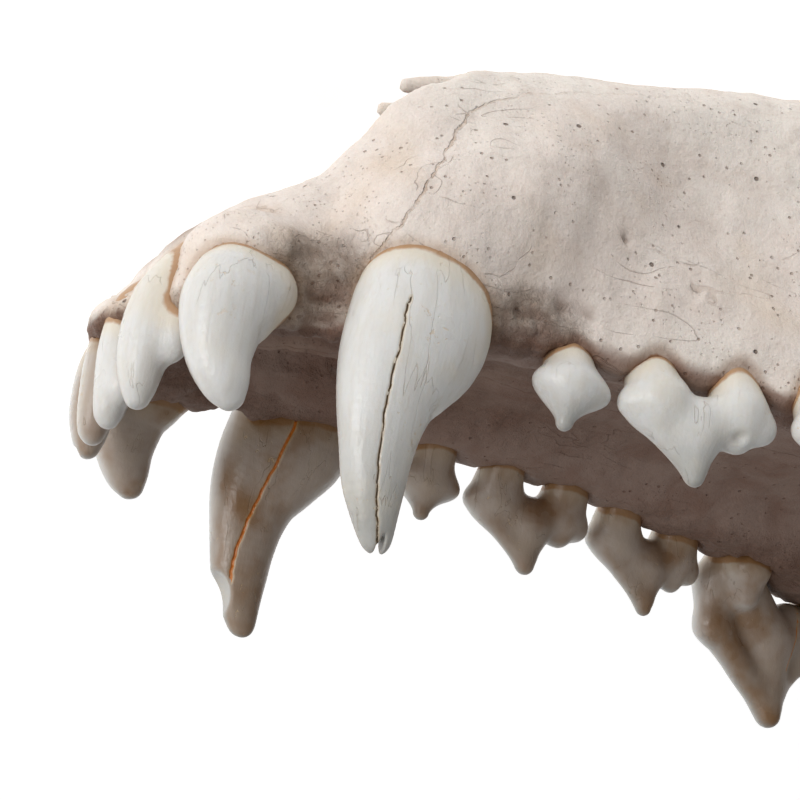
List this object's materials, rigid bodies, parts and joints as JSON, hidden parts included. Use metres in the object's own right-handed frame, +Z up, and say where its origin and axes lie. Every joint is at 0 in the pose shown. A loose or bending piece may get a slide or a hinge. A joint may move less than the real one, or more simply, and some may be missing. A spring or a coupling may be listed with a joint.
{
  "type": "wolf skull",
  "caption": "Life-size wolf cranium with its upper teeth, without the lower jaw, lying on its right cheek and forehead as a loose skull comes to rest",
  "frame": {"origin": "on the table, under the middle of the skull's bounding box", "axes": "+X from the front teeth towards the back of the skull, +Z up from the table, +Y to the side where the animal's left lies; the animal's left side faces up and to +Y"},
  "size_m": [0.2764, 0.1234, 0.1051],
  "materials": {
    "bone": "matt, dry, finely pored bone",
    "enamel": "satin tooth enamel with fine cracks"
  },
  "bodies": {
    "root": {"cranium": "bone"}
  },
  "joints": []
}
